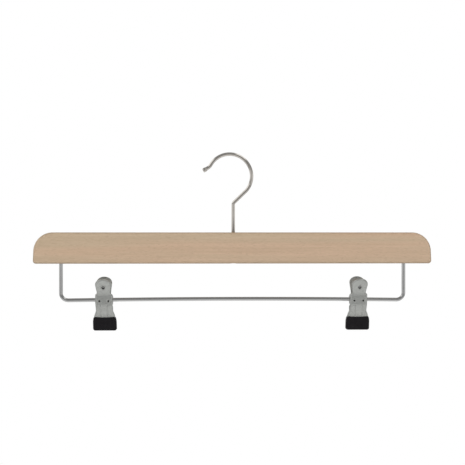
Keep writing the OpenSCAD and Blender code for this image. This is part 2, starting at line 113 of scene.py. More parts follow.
# Sizes of a clip, about its pivot
PIVOT_Z = ROD_MIDDLE_Z - ROD_BOW / 2
SHEET = 0.9
WALL_OUT = 6.1
WALL_TOP_Z = 5.8
WALL_FOOT_Z = -5
KNEE_Z = -15.6
BLADE_OUT = 2.25
BLADE_Z = 28
FOLD_R = 14
PAD_TILT = 27
PAD_Z = 13.7
PAD_R = 7.5
PAD_CROWN = 0.85
PAD_RUN = 40
PAD_FLANGE = 0.4
RIM_R = 1.5
CORNER_R = 1.9
WAIST_R = 1.4
WAIST_X = 6.4
BODY_X = 7.95
BODY_FLANGE = 0.9
BLADE_X = 9.95
BLADE_FLANGE = 0.3
FLARE_S = -10.8
FLARE_L = 6.2
EDGE_TURN_S = -17.2
EDGE_TURN_L = 3.4
FLANGE_GROWS_S = -15
FLANGE_GROWS_L = 3
EAR_R = 4.8
EAR_TOP_S = 3.8
EAR_FOOT_S = -4.5
EAR_SPAN = 110
EAR_FLANGE = 1
JOG_S = -8.4
JOG_L = 3.25
JOG_END_S = -5.8
SHOULDER_FLANGE = 1.6
DIMPLE_X = 4.25
DIMPLE_Z = -1.1
DIMPLE_DEPTH = 0.75
DIMPLE_R = 1.5
DIMPLE_RIM_RISE = 0.12
DIMPLE_RIM_R = 1.6
DIMPLE_RIM_W = 0.8
BODY_RIB_X = 3.3
BODY_RIB_RISE = 0.6
BODY_RIB_W = 1.1
BODY_RIB_FOOT_Z = -16.3
BODY_RIB_TOP_Z = -5.2
BODY_RIB_FADE = 1.5
TUBE_R = 3.1
TUBE_BORE_R = 2.5
TUBE_HALF = 8.05
TUBE_FLANGE_R = 3.7
TUBE_LIP = 0.36
BORE_R = 3.15
BORE_REACH = 12
SPRING_HOLE_Z = 11.7
SPRING_HOLE_R = 1
SPRING_DRILL_REACH = 2
COLLAR_RISE = 0.5
COLLAR_R = 1.9
COLLAR_W = 0.95
SPRING_WIRE_R = 0.55
COIL_R = 3.95
COIL_W = 5.8
COIL_TURNS = 3.5
SLEEVE_X = 11.15
SLEEVE_MOUTH_X = 10.45
SLEEVE_WALL = 1.2
SLEEVE_TOP_Z = -16.1
SLEEVE_END_Z = -29.25
SLEEVE_CORNER_R = 2
SLEEVE_SHOULDER_L = 4.4
SLEEVE_DIP = 0.65
SLEEVE_DIP_BAND = 2.5
SLEEVE_SOFT = 0.9
SLEEVE_LIP = 0.35
SLEEVE_EDGE_R = 0.16
POCKET_TOP_Z = -12
WINDOW_X = 9.6
WINDOW_TOP_Z = -18.2
GRIP_RIB_X = 9.3
GRIP_RIB_Z = -27.2
GRIP_RIB_R = 0.6
GRIP_RIB_RISE = 0.58
GRIP_RIB_COUNT = 5
GRIP_RIB_PITCH = 2.05
FACE_GAP = 0.1
SEAT_GAP = 0.05

# Half width over a jaw's ears, turn of its shoulders and rise of its pad
JAWS = {"front": (8.1, 60, 0), "rear": (7.1, 36, 1.2)}

# Each clip hangs a little askew, its foot towards the hanger's middle
CLIP_TILT = 1.85

# What metal reflects: the room, the floor and, in radians about Y, two windows
ROOM_GREY = 0.3
FLOOR_HALF = 12
FLOOR_Z = -0.42
LEFT_WINDOW = 2.48
RIGHT_WINDOW = 1.05


def sin(degrees):
    return math.sin(math.radians(degrees))


def cos(degrees):
    return math.cos(math.radians(degrees))


def mix(a, b, t):
    return a + (b - a) * t


def ease(t):
    t = min(max(t, 0), 1)
    return t * t * (3 - 2 * t)


def arc(centre, r, start, end, steps):
    """Points on an arc in a plane, from one angle to another."""
    turns = [mix(start, end, i / steps) for i in range(steps + 1)]
    return [Vector((centre[0] + r * cos(a), centre[1] + r * sin(a))) for a in turns]


# Node trees

class Tree:
    """A node tree with short ways to add nodes and to feed their sockets."""

    def __init__(self, tree):
        self.tree = tree

    def add(self, kind, inputs=None, **settings):
        node = self.tree.nodes.new(kind)
        for name, value in settings.items():
            setattr(node, name, value)
        for name, value in (inputs or {}).items():
            self.feed(value, node.inputs[name])
        return node

    def feed(self, value, socket):
        if isinstance(value, bpy.types.NodeSocket):
            self.tree.links.new(value, socket)
        else:
            socket.default_value = value

    def math(self, operation, *values, clamp=False):
        node = self.add("ShaderNodeMath", operation=operation, use_clamp=clamp)
        for value, socket in zip(values, node.inputs):
            self.feed(value, socket)
        return node.outputs[0]

    def blend(self, factor, low, high, mode="MIX"):
        node = self.add("ShaderNodeMix", data_type="RGBA", blend_type=mode)
        for value, index in ((factor, 0), (low, 6), (high, 7)):
            self.feed(value, node.inputs[index])
        return node.outputs[2]

    def ramp(self, value, low, high, to_low=0, to_high=1):
        names = ("Value", "From Min", "From Max", "To Min", "To Max")
        node = self.add("ShaderNodeMapRange", dict(zip(names, (value, low, high, to_low, to_high))))
        return node.outputs[0]

    def noise(self, vector, scale, detail=2, roughness=0.5):
        inputs = {"Vector": vector, "Scale": scale, "Detail": detail, "Roughness": roughness}
        return self.add("ShaderNodeTexNoise", inputs).outputs["Fac"]

    def stretched(self, vector, stretch):
        inputs = {"Vector": vector, "Scale": stretch}
        return self.add("ShaderNodeMapping", inputs).outputs[0]


def new_group(name, kind, inputs, outputs):
    """A node group with named sockets, and its input and output nodes."""
    group = bpy.data.node_groups.new(name, kind)
    for direction, sockets in (("INPUT", inputs), ("OUTPUT", outputs)):
        for label, (socket_type, value) in sockets.items():
            socket = group.interface.new_socket(label, in_out=direction, socket_type=socket_type)
            if value is not None:
                socket.default_value = value
    tree = Tree(group)
    return tree, tree.add("NodeGroupInput").outputs, tree.add("NodeGroupOutput").inputs


FLOAT = "NodeSocketFloat"
COLOUR = "NodeSocketColor"
VECTOR = "NodeSocketVector"
COUNT = "NodeSocketInt"
GEOMETRY = "NodeSocketGeometry"
FINISH = "NodeSocketMaterial"


def beech_group():
    """Straight beech grain in the solid: long streaks, fine pores and short darker flecks."""
    tree, given, out = new_group(
        "beech_grain", "ShaderNodeTree",
        {"Vector": (VECTOR, None), "Pale": (COLOUR, (0.6, 0.45, 0.32, 1)),
         "Warm": (COLOUR, (0.5, 0.35, 0.24, 1)), "Fleck": (COLOUR, (0.35, 0.24, 0.16, 1)),
         "Fleck Amount": (FLOAT, 0.3)},
        {"Color": (COLOUR, None), "Height": (FLOAT, None), "Roughness": (FLOAT, None)})
    vector = given["Vector"]
    wander = tree.noise(tree.stretched(vector, (8, 60, 60)), 1, 1)
    bent = tree.add("ShaderNodeVectorMath", {1: (0, 0.0006, 0.0016)}, operation="MULTIPLY_ADD")
    tree.feed(wander, bent.inputs[0])
    tree.feed(vector, bent.inputs[2])
    bent = bent.outputs[0]
    streak = tree.noise(tree.stretched(bent, (9, 260, 420)), 1, 3, 0.6)
    band = tree.noise(tree.stretched(bent, (4, 90, 110)), 1, 1)
    pore = tree.noise(tree.stretched(bent, (160, 2600, 3400)), 1, 2, 0.7)
    fleck = tree.noise(tree.stretched(bent, (330, 900, 1900)), 1, 0)
    colour = tree.blend(tree.ramp(streak, 0.32, 0.68), given["Pale"], given["Warm"])
    tint = tree.blend(tree.ramp(band, 0.35, 0.65), (1.03, 0.985, 0.97, 1), (0.975, 1.0, 0.985, 1))
    colour = tree.blend(1.0, colour, tint, "MULTIPLY")
    spots = tree.math("MULTIPLY", tree.ramp(fleck, 0.62, 0.72), given["Fleck Amount"])
    colour = tree.blend(spots, colour, given["Fleck"])
    pores = tree.ramp(pore, 0.3, 0.6, 0.93, 1.02)
    shade = tree.add("ShaderNodeCombineColor", {"Red": pores, "Green": pores, "Blue": pores})
    tree.feed(tree.blend(1.0, colour, shade.outputs[0], "MULTIPLY"), out["Color"])
    tree.feed(tree.math("ADD", tree.math("MULTIPLY", pore, 0.6), streak), out["Height"])
    tree.feed(tree.ramp(streak, 0.3, 0.7, 0.42, 0.56), out["Roughness"])
    return tree.tree


def handled_metal_group():
    """Plated metal that has been handled: faint clouding, drawing lines and fine dust in the finish, and
    painted shade, almost black, mixed in by its last input.
    """
    tree, given, out = new_group(
        "handled_metal", "ShaderNodeTree",
        {"Vector": (VECTOR, None), "Colour": (COLOUR, (0.6, 0.6, 0.6, 1)), "Roughness": (FLOAT, 0.2),
         "Cloud": (FLOAT, 0.1), "Line Amount": (FLOAT, 0.3), "Line Stretch": (VECTOR, (40, 3000, 3000)),
         "Speckle": (FLOAT, 0.0), "Soil": (FLOAT, 0.0)},
        {"Color": (COLOUR, None), "Roughness": (FLOAT, None), "Height": (FLOAT, None)})
    cloud = tree.noise(given["Vector"], 260, 3, 0.6)
    grain = tree.noise(given["Vector"], 3800, 1)
    line = tree.noise(tree.stretched(given["Vector"], given["Line Stretch"]), 1, 2)
    dull = tree.math("MULTIPLY", tree.ramp(cloud, 0.35, 0.7), given["Cloud"])
    lined = tree.math("MULTIPLY", given["Line Amount"], 0.2)
    lined = tree.math("MULTIPLY", tree.ramp(line, 0.3, 0.7, -0.5, 0.5), lined)
    dull = tree.math("ADD", dull, lined)
    tree.feed(tree.math("ADD", given["Roughness"], dull), out["Roughness"])
    darker = tree.blend(1.0, given["Colour"], (0.8, 0.79, 0.78, 1), "MULTIPLY")
    colour = tree.blend(tree.math("MULTIPLY", dull, 2.0, clamp=True), given["Colour"], darker)
    speckle = tree.ramp(tree.noise(given["Vector"], 1500, 1), 0.3, 0.7, -1, 1)
    shade = tree.math("MULTIPLY_ADD", speckle, given["Speckle"], 1.0)
    shade = tree.add("ShaderNodeCombineColor", {"Red": shade, "Green": shade, "Blue": shade}).outputs[0]
    colour = tree.blend(1.0, colour, shade, "MULTIPLY")
    # Painted shade: where the mask is high the colour goes almost black, as shade would in a recess.
    tree.feed(tree.blend(given["Soil"], colour, (0.012, 0.011, 0.010, 1)), out["Color"])
    lines = tree.math("MULTIPLY", line, given["Line Amount"])
    tree.feed(tree.math("ADD", lines, tree.math("MULTIPLY", grain, 0.35)), out["Height"])
    return tree.tree


def moulded_group():
    """Soft moulded plastic: a fine pebbled skin with dusty highs and smoother, darker lows."""
    tree, given, out = new_group(
        "moulded_skin", "ShaderNodeTree",
        {"Vector": (VECTOR, None), "Colour": (COLOUR, (0.02, 0.02, 0.02, 1)),
         "Dust": (COLOUR, (0.06, 0.06, 0.06, 1)), "Dust Amount": (FLOAT, 0.3), "Roughness": (FLOAT, 0.55)},
        {"Color": (COLOUR, None), "Roughness": (FLOAT, None), "Height": (FLOAT, None)})
    pebble = tree.add("ShaderNodeTexVoronoi", {"Vector": given["Vector"], "Scale": 2600}).outputs["Distance"]
    dust = tree.noise(given["Vector"], 420, 4, 0.65)
    amount = tree.math("MULTIPLY", tree.ramp(dust, 0.48, 0.75), given["Dust Amount"])
    tree.feed(tree.blend(amount, given["Colour"], given["Dust"]), out["Color"])
    tree.feed(tree.math("ADD", given["Roughness"], tree.math("MULTIPLY", amount, 0.3)), out["Roughness"])
    skin = tree.math("ADD", tree.math("MULTIPLY", pebble, 0.6), tree.math("MULTIPLY", dust, 0.4))
    tree.feed(skin, out["Height"])
    return tree.tree


BEECH = beech_group()
HANDLED_METAL = handled_metal_group()
MOULDED = moulded_group()


def finish_material(name, group, inputs, bump, depth, shaded_by=None, **shader_values):
    """A Principled material whose changing values come from one of the groups."""
    material = bpy.data.materials.new(name)
    material.use_nodes = True
    tree = Tree(material.node_tree)
    tree.tree.nodes.clear()
    place = tree.add("ShaderNodeTexCoord").outputs["Object"]
    made = tree.add("ShaderNodeGroup", node_tree=group)
    tree.feed(place, made.inputs["Vector"])
    for label, value in inputs.items():
        made.inputs[label].default_value = value
    # An attribute of painted shade, if given, darkens the finish in recesses.
    if shaded_by:
        soil = tree.add("ShaderNodeAttribute", attribute_name=shaded_by)
        tree.feed(soil.outputs["Fac"], made.inputs["Soil"])
    height = {"Height": made.outputs["Height"], "Strength": bump, "Distance": depth * MM}
    normal = tree.add("ShaderNodeBump", height).outputs[0]
    bsdf = tree.add("ShaderNodeBsdfPrincipled", {
        "Base Color": made.outputs["Color"], "Roughness": made.outputs["Roughness"], "Normal": normal})
    for label, value in shader_values.items():
        bsdf.inputs[label.replace("_", " ").title().replace("Ior", "IOR")].default_value = value
    output = tree.add("ShaderNodeOutputMaterial")
    tree.feed(bsdf.outputs[0], output.inputs["Surface"])
    return material


LACQUERED_BEECH = finish_material(
    "lacquered_beech", BEECH,
    {"Pale": (0.57, 0.425, 0.297, 1), "Warm": (0.515, 0.381, 0.262, 1), "Fleck": (0.40, 0.28, 0.185, 1),
     "Fleck Amount": 0.35},
    bump=0.25, depth=0.05, coat_weight=0.08, coat_roughness=0.35)
NICKEL_WIRE = finish_material(
    "nickel_wire", HANDLED_METAL,
    {"Colour": (0.73, 0.69, 0.64, 1), "Roughness": 0.11, "Cloud": 0.06, "Line Amount": 0.2,
     "Line Stretch": (500, 500, 500)},
    bump=0.05, depth=0.01, metallic=1)
BRIGHT_WIRE = finish_material(
    "bright_wire", HANDLED_METAL,
    {"Colour": (0.60, 0.60, 0.595, 1), "Roughness": 0.1, "Cloud": 0.07, "Line Amount": 0.3,
     "Line Stretch": (30, 2500, 2500)},
    bump=0.05, depth=0.01, metallic=1)
# The sheet's finish darkens by the jaw's painted shade attribute.
SATIN_SHEET = finish_material(
    "satin_sheet", HANDLED_METAL,
    {"Colour": (0.50, 0.511, 0.488, 1), "Roughness": 0.33, "Cloud": 0.10, "Line Amount": 0.5,
     "Line Stretch": (1800, 1800, 120), "Speckle": 0.14},
    bump=0.2, depth=0.02, shaded_by="soil", metallic=0.75)
SPRING_WIRE = finish_material(
    "spring_wire", HANDLED_METAL,
    {"Colour": (0.44, 0.44, 0.44, 1), "Roughness": 0.26, "Cloud": 0.1, "Line Amount": 0.4,
     "Line Stretch": (900, 900, 900)},
    bump=0.2, depth=0.01, metallic=1)
SLEEVE_VINYL = finish_material(
    "sleeve_vinyl", MOULDED,
    {"Colour": (0.006, 0.0052, 0.0065, 1), "Dust": (0.02, 0.019, 0.02, 1), "Dust Amount": 0.3,
     "Roughness": 0.55},
    bump=0.2, depth=0.03, specular_ior_level=0.22)

FINISHES = {
    "wood": LACQUERED_BEECH, "hook_steel": NICKEL_WIRE, "rod_steel": BRIGHT_WIRE,
    "clip_steel": SATIN_SHEET, "spring_steel": SPRING_WIRE, "sleeve_rubber": SLEEVE_VINYL,
}


# Making pieces

def link(name, mesh):
    piece = bpy.data.objects.new(name, mesh)
    bpy.context.scene.collection.objects.link(piece)
    return piece


def solid(name, points, faces):
    """A closed piece from points in millimetres, its doubles merged and its faces turned outwards."""
    mesh = bpy.data.meshes.new(name)
    mesh.from_pydata([Vector(p) * MM for p in points], [], faces)
    tidy(mesh)
    return link(name, mesh)


def tidy(mesh):
    work = bmesh.new()
    work.from_mesh(mesh)
    bmesh.ops.remove_doubles(work, verts=work.verts, dist=0.001 * MM)
    bmesh.ops.dissolve_degenerate(work, edges=work.edges, dist=0.0005 * MM)
    bmesh.ops.recalc_face_normals(work, faces=work.faces)
    work.to_mesh(mesh)
    work.free()


def settle(piece):
    """Turns a piece's modifiers into its mesh."""
    evaluated = piece.evaluated_get(bpy.context.evaluated_depsgraph_get())
    mesh = bpy.data.meshes.new_from_object(evaluated)
    piece.modifiers.clear()
    piece.data = mesh
    mesh.name = piece.name


def cut(piece, *tools, operation="DIFFERENCE"):
    """Cuts tools out of a piece, and takes the tools away."""
    for tool in tools:
        change = piece.modifiers.new("cut", "BOOLEAN")
        change.operation = operation
        change.solver = "EXACT"
        change.object = tool
    settle(piece)
    for tool in tools:
        bpy.data.objects.remove(tool)


def join(piece, *others):
    """Adds the meshes of other pieces to a piece, as they lie."""
    work = bmesh.new()
    for each in (piece, *others):
        work.from_mesh(each.data)
    work.to_mesh(piece.data)
    work.free()
    for other in others:
        bpy.data.objects.remove(other)


def hand_over(piece, body, slot, *nodes, crease=32):
    """Gives a piece its finish and its place among the hanger's bodies."""
    mesh = piece.data
    mesh.materials.clear()
    mesh.materials.append(FINISHES[slot])
    mesh.polygons.foreach_set("material_index", [0] * len(mesh.polygons))
    mesh.shade_smooth()
    mesh.set_sharp_from_angle(angle=math.radians(crease))
    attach(piece, body)
    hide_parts(*nodes)


def stack(name, rings):
    """A closed piece between rings of as many points each, with a flat face at either end."""
    n = len(rings[0])
    sides = [(j * n + k, j * n + (k + 1) % n, (j + 1) * n + (k + 1) % n, (j + 1) * n + k)
             for j in range(len(rings) - 1) for k in range(n)]
    ends = [list(range(n)), list(range((len(rings) - 1) * n, len(rings) * n))]
    return solid(name, [p for ring in rings for p in ring], sides + ends)


def turned_rings(profile, centre, axis, steps):
    """Rings of a profile of (radius, height) pairs about the X, Y or Z axis through a centre."""
    rings = []
    for radius, height in profile:
        ring = []
        for k in range(steps):
            a, b = radius * cos(360 * k / steps), radius * sin(360 * k / steps)
            ring.append(Vector(centre) + {"X": Vector((height, a, b)), "Y": Vector((b, height, a)),
                                          "Z": Vector((a, b, height))}[axis])
        rings.append(ring)
    return rings


def turned(name, profile, centre, axis, steps=72):
    """A turned piece, from an open profile."""
    return stack(name, turned_rings(profile, centre, axis, steps))


def turned_with_bore(name, profile, centre, axis, steps=72):
    """A turned piece with a bore, from a closed profile."""
    rings = turned_rings(profile, centre, axis, steps)
    count = len(rings)
    faces = [(j * steps + k, j * steps + (k + 1) % steps,
              (j + 1) % count * steps + (k + 1) % steps, (j + 1) % count * steps + k)
             for j in range(count) for k in range(steps)]
    return solid(name, [p for ring in rings for p in ring], faces)


def block(name, half_x, ys, zs):
    """A plain block between two places along Y and two heights."""
    corners = [(-half_x, zs[0]), (half_x, zs[0]), (half_x, zs[1]), (-half_x, zs[1])]
    return stack(name, [[Vector((x, y, z)) for x, z in corners] for y in ys])


def wire_tree():
    """Sweeps round wire along a path whose points carry the wire's radius."""
    tree, given, out = new_group(
        "round_wire", "GeometryNodeTree",
        {"Path": (GEOMETRY, None), "Sides": (COUNT, 24), "Finish": (FINISH, None)},
        {"Wire": (GEOMETRY, None)})
    curve = tree.add("GeometryNodeMeshToCurve", {"Mesh": given["Path"]})
    radius = tree.add("GeometryNodeInputNamedAttribute", {"Name": "wire_radius"}, data_type="FLOAT")
    circle = tree.add("GeometryNodeCurvePrimitiveCircle", {"Resolution": given["Sides"], "Radius": 1.0})
    swept = tree.add("GeometryNodeCurveToMesh", {
        "Curve": curve.outputs[0], "Profile Curve": circle.outputs[0], "Scale": radius.outputs[0],
        "Fill Caps": True})
    real = tree.add("GeometryNodeRealizeInstances", {"Geometry": swept.outputs[0]})
    dressed = tree.add("GeometryNodeSetMaterial", {"Geometry": real.outputs[0], "Material": given["Finish"]})
    tree.feed(dressed.outputs[0], out["Wire"])
    return tree.tree


def rows_tree():
    """Repeats a piece in a straight row."""
    tree, given, out = new_group(
        "rib_row", "GeometryNodeTree",
        {"Rib": (GEOMETRY, None), "Count": (COUNT, 4), "Pitch": (VECTOR, None), "Finish": (FINISH, None)},
        {"Row": (GEOMETRY, None)})
    line = tree.add("GeometryNodeMeshLine", {"Count": given["Count"], "Offset": given["Pitch"]})
    row = tree.add("GeometryNodeInstanceOnPoints", {"Points": line.outputs[0], "Instance": given["Rib"]})
    real = tree.add("GeometryNodeRealizeInstances", {"Geometry": row.outputs[0]})
    dressed = tree.add("GeometryNodeSetMaterial", {"Geometry": real.outputs[0], "Material": given["Finish"]})
    tree.feed(dressed.outputs[0], out["Row"])
    return tree.tree


WIRE = wire_tree()
ROWS = rows_tree()


def grow(piece, tree, **inputs):
    """Runs a Geometry Nodes tree on a piece and keeps the result as its mesh."""
    change = piece.modifiers.new(tree.name, "NODES")
    change.node_group = tree
    for socket in tree.interface.items_tree:
        if socket.in_out == "INPUT" and socket.name.lower() in inputs:
            change[socket.identifier] = inputs[socket.name.lower()]
    settle(piece)
    tidy(piece.data)


def wire(name, path, radii, sides, slot):
    """A piece of round wire through the path's points, each with its own radius."""
    mesh = bpy.data.meshes.new(name)
    mesh.from_pydata([Vector(p) * MM for p in path], [(i, i + 1) for i in range(len(path) - 1)], [])
    radius = mesh.attributes.new("wire_radius", "FLOAT", "POINT")
    radius.data.foreach_set("value", [r * MM for r in radii])
    piece = link(name, mesh)
    grow(piece, WIRE, sides=sides, finish=FINISHES[slot])
    return piece


def upright(points):
    """Points of the XZ plane, in space."""
    return [Vector((p.x, 0, p.y)) for p in points]


# The wooden bar

def bar_outline(inset):
    """The bar's front outline, drawn in by inset, as a closed line about its middle."""
    foot = Vector((BAR_HALF_L - BAR_FOOT_R, BAR_FOOT_Z + BAR_FOOT_R))
    top = Vector((BAR_HALF_L - BAR_LEAN - BAR_TOP_R, bar_high.z - BAR_TOP_R))
    apart = foot - top
    lean = math.degrees(math.atan2(apart.y, apart.x)) + math.degrees(
        math.acos((BAR_TOP_R - BAR_FOOT_R) / apart.length))
    right = arc(foot, BAR_FOOT_R - inset, -90, lean, 12) + arc(top, BAR_TOP_R - inset, lean, 90, 36)
    return right + [Vector((-p.x, p.y)) for p in reversed(right)]


def drilled(radius, depth, ease_r):
    """The profile of a drilled hole whose mouth is eased."""
    wide = radius + ease_r
    return [(wide, -DRILL_PAST), (wide, DRILL_LEAD), (radius, DRILL_LEAD + ease_r), (radius, depth)]


def wooden_bar():
    flat = BAR_HALF_T - BAR_EDGE_R
    edge = arc((0, flat), BAR_EDGE_R, 90, 0, 9) + arc((0, -flat), BAR_EDGE_R, 0, -90, 9)
    rings = []
    for step in edge:
        outline = bar_outline(BAR_EDGE_R - step.x)
        rings.append([Vector((p.x + BAR_MIDDLE, step.y, p.y)) for p in outline])
    bar = stack("beech_bar", rings)
    through = bar_low.z - bar_high.z - DRILL_PAST
    # The hole for the shank opens in a small funnel at the top
    funnel = [(0.9, DRILL_PAST), (0.9, 0), (0.35, -0.5), (SHANK_PLAY, -0.8), (SHANK_PLAY, through)]
    shank = [(HOOK_R + gap, height) for gap, height in funnel]
    bore = drilled(COUNTERBORE_R, COUNTERBORE_DEPTH, COUNTERBORE_EASE)
    tools = [
        turned("shank_hole", shank, (BAR_MIDDLE, 0, bar_high.z), "Z", 48),
        turned("counterbore", bore, (BAR_MIDDLE, 0, bar_low.z), "Z", 64)]
    hole = drilled(ROD_R, ROD_HOLE_DEPTH, ROD_HOLE_EASE)
    for side in (-1, 1):
        tools.append(turned("rod_hole", hole, (BAR_MIDDLE + side * ROD_SPAN / 2, 0, bar_low.z), "Z", 48))
    cut(bar, *tools)
    hand_over(bar, "bar", "wood", "wooden_bar", crease=40)


# The hook with its nut and washer

def hook_path():
    """The middle line of the hook's wire, from the shank's end to the tip."""
    bend = HOOK_INNER_R + HOOK_R
    neck_turn = 90 - NECK_HEADING
    heading = Vector((cos(NECK_HEADING), sin(NECK_HEADING)))
    neck_top = Vector((bend * cos(neck_turn), -HOOK_INNER_R - bend * sin(neck_turn)))
    foot_x = BAR_MIDDLE + NECK_BEND_R * (1 - cos(neck_turn))
    neck_foot = neck_top - (neck_top.x - foot_x) / heading.x * heading
    bend_z = neck_foot.y - NECK_BEND_R * sin(neck_turn)
    out = Vector((cos(HOOK_END_ANGLE), sin(HOOK_END_ANGLE)))
    lip_centre = Vector((0, -HOOK_INNER_R)) + (bend + LIP_BEND_R) * out
    lip_from = HOOK_END_ANGLE - 180
    shank = (SHANK_END_Z, SHANK_END_Z + SHANK_CHAMFER_L, bend_z - STRAIGHT_BELOW_BEND)
    path = [Vector((BAR_MIDDLE, z)) for z in shank]
    path += arc((BAR_MIDDLE + NECK_BEND_R, bend_z), NECK_BEND_R, 180, 180 - neck_turn, 10)
    path += arc((0, -HOOK_INNER_R), bend, -neck_turn, HOOK_END_ANGLE, 100)
    lip = arc(lip_centre, LIP_BEND_R, lip_from, lip_from - LIP_TURN, 14)
    ahead = (lip[-1] - lip[-2]).normalized()
    return path + lip[1:], lip[-1], ahead


def swivel_hook():
    path, lip_end, ahead = hook_path()
    radii = [HOOK_R - SHANK_CHAMFER] + [HOOK_R] * (len(path) - 1)
    # The tip is upset to a short barrel with rounded edges
    barrel = [(1.2, HOOK_R), (1.8, mix(HOOK_R, TIP_R, 0.5)), (2.3, TIP_R)]
    barrel += [(TIP_L + p.y, TIP_R + p.x)
               for p in arc((-TIP_ROUND_R, -TIP_ROUND_R), TIP_ROUND_R, 0, 90, 6)]
    for along, radius in barrel + [(TIP_L + TIP_FACE_RISE, TIP_FACE_R)]:
        path.append(lip_end + along * ahead)
        radii.append(radius)
    hook = wire("wire_hook", upright(path), radii, 32, "hook_steel")
    count = THREAD_TURNS * THREAD_STEPS + 1
    thread, radii = [], []
    for i in range(count):
        across = (HOOK_R - THREAD_SINK) * cos(360 * i / THREAD_STEPS)
        out = (HOOK_R - THREAD_SINK) * sin(360 * i / THREAD_STEPS)
        height = SHANK_END_Z + THREAD_START + THREAD_PITCH * i / THREAD_STEPS
        thread.append(Vector((BAR_MIDDLE + across, out, height)))
        radii.append(THREAD_R * min(1, (i + 1) / THREAD_FADE, (count - i) / THREAD_FADE))
    join(hook, wire("thread", thread, radii, 6, "hook_steel"))
    hand_over(hook, "hook", "hook_steel", "swivel_hook", crease=50)


def hook_nut():
    low, high = [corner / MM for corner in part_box("hook_nut")]
    height = high.z - low.z
    corner_r = (high.x - low.x) / 2
    flat_r = corner_r * cos(30)
    hexagon = [(corner_r, 0), (corner_r, height)]
    nut = turned("hex_nut", hexagon, (BAR_MIDDLE, 0, low.z), "Z", 6)
    face_r, outside_r = flat_r - 0.1, corner_r + 0.1
    chamfer = [(face_r, -0.01), (outside_r, NUT_CHAMFER), (outside_r, height - NUT_CHAMFER),
               (face_r, height + 0.01)]
    cut(nut, turned("chamfer", chamfer, (BAR_MIDDLE, 0, low.z), "Z", 96), operation="INTERSECT")
    mouth_r = HOOK_R + NUT_MOUTH
    bore = [(mouth_r, -DRILL_PAST), (mouth_r, 0), (HOOK_R, NUT_MOUTH), (HOOK_R, height - NUT_MOUTH),
            (mouth_r, height), (mouth_r, height + DRILL_PAST)]
    cut(nut, turned("bore", bore, (BAR_MIDDLE, 0, low.z), "Z", 48))
    hand_over(nut, "hook", "rod_steel", "hook_nut", crease=20)


def hook_washer():
    low, high = [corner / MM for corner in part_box("hook_washer")]
    outer, inner, soft = (high.x - low.x) / 2, HOOK_R + SHANK_PLAY, WASHER_EDGE
    t = high.z - low.z
    profile = [(inner, soft), (inner + soft, 0), (outer - soft, 0), (outer, soft), (outer, t - soft),
               (outer - soft, t), (inner + soft, t), (inner, t - soft)]
    washer = turned_with_bore("round_washer", profile, (BAR_MIDDLE, 0, low.z), "Z", 96)
    hand_over(washer, "bar", "rod_steel", "hook_washer", crease=50)


# The rod

def trouser_rod():
    half = ROD_SPAN / 2 - ROD_BEND_R
    slope = 2 * math.degrees(math.atan(ROD_BOW / half))
    bow_r = half / sin(slope) - ROD_BEND_R
    bend_z = ROD_MIDDLE_Z - ROD_BOW + ROD_BEND_R
    leg_top = bar_low.z + ROD_HOLE_DEPTH
    right = [Vector((half + ROD_BEND_R, leg_top)), Vector((half + ROD_BEND_R, bend_z + ROD_LEG_BELOW))]
    right += arc((half, bend_z), ROD_BEND_R, 0, -90 - slope, 20)
    middle = arc((0, ROD_MIDDLE_Z - bow_r), bow_r, 90 - slope, 90 + slope, 60)[1:-1]
    path = right + middle + [Vector((-p.x, p.y)) for p in reversed(right)]
    path = [Vector((p.x + BAR_MIDDLE, p.y)) for p in path]
    rod = wire("wire_rod", upright(path), [ROD_R] * len(path), 32, "rod_steel")
    hand_over(rod, "bar", "rod_steel", "trouser_rod", crease=50)


# The clips

def walk(steps, s):
    """Distance outwards, height and lean of a jaw's outer face at length s from the pivot's height."""
    out, up, lean = WALL_OUT, 0, 0
    for i, (length, turn) in enumerate(steps):
        part = s / length
        if i < len(steps) - 1:
            part = min(part, 1)
        if turn:
            bend = length / math.radians(turn)
            out += bend * (cos(lean) - cos(lean + turn * part))
            up += bend * (sin(lean + turn * part) - sin(lean))
        else:
            out += length * part * sin(lean)
            up += length * part * cos(lean)
        lean += turn * part
        s -= length
        if part < 1 or s <= 0:
            break
    return out, up, lean


BODY_SLOPE = math.degrees(math.atan((WALL_OUT - BLADE_OUT) / (WALL_FOOT_Z - KNEE_Z)))
BODY_FOLD = FOLD_R * math.tan(math.radians(BODY_SLOPE / 2))
PAD_STEPS = [(WALL_TOP_Z - FOLD_R * math.tan(math.radians(PAD_TILT / 2)), 0),
             (FOLD_R * math.radians(PAD_TILT), PAD_TILT), (PAD_RUN, 0)]
BODY_STEPS = [(-WALL_FOOT_Z - BODY_FOLD, 0), (FOLD_R * math.radians(BODY_SLOPE), -BODY_SLOPE),
              (math.hypot(WALL_OUT - BLADE_OUT, WALL_FOOT_Z - KNEE_Z) - 2 * BODY_FOLD, 0),
              (FOLD_R * math.radians(BODY_SLOPE), BODY_SLOPE), (KNEE_Z + BLADE_Z - BODY_FOLD, 0)]
BLADE_END_S = -sum(length for length, turn in BODY_STEPS)


def on_face(x, s, depth):
    """A point of the front jaw at x across and s along its outer face, sunk by depth behind it."""
    out, up, lean = walk(BODY_STEPS if s < 0 else PAD_STEPS, abs(s))
    return Vector((x, depth * cos(lean) - out, (-1 if s < 0 else 1) * (up + depth * sin(lean))))


def rolled(row, along, inner):
    """A point of a row's rolled edge: along is 0 to 1 round the bend, and 2 at the flange's end."""
    x, s, normal, turn, flange = row[:5]
    bent = RIM_R * math.radians(turn)
    spare = 0 if turn > 80 else max(0, RIM_R * (1 - sin(turn)) / cos(turn) - flange)
    q = bent + spare + flange if along > 1 else (bent + spare) * along
    t = min(math.degrees(q / RIM_R), turn)
    run = max(0, q - bent)
    r = RIM_R - SHEET if inner else RIM_R
    inset = RIM_R - r * sin(t) - run * cos(t)
    depth = RIM_R - r * cos(t) + run * sin(t)
    return on_face(x - inset * cos(normal), s - inset * sin(normal), depth)


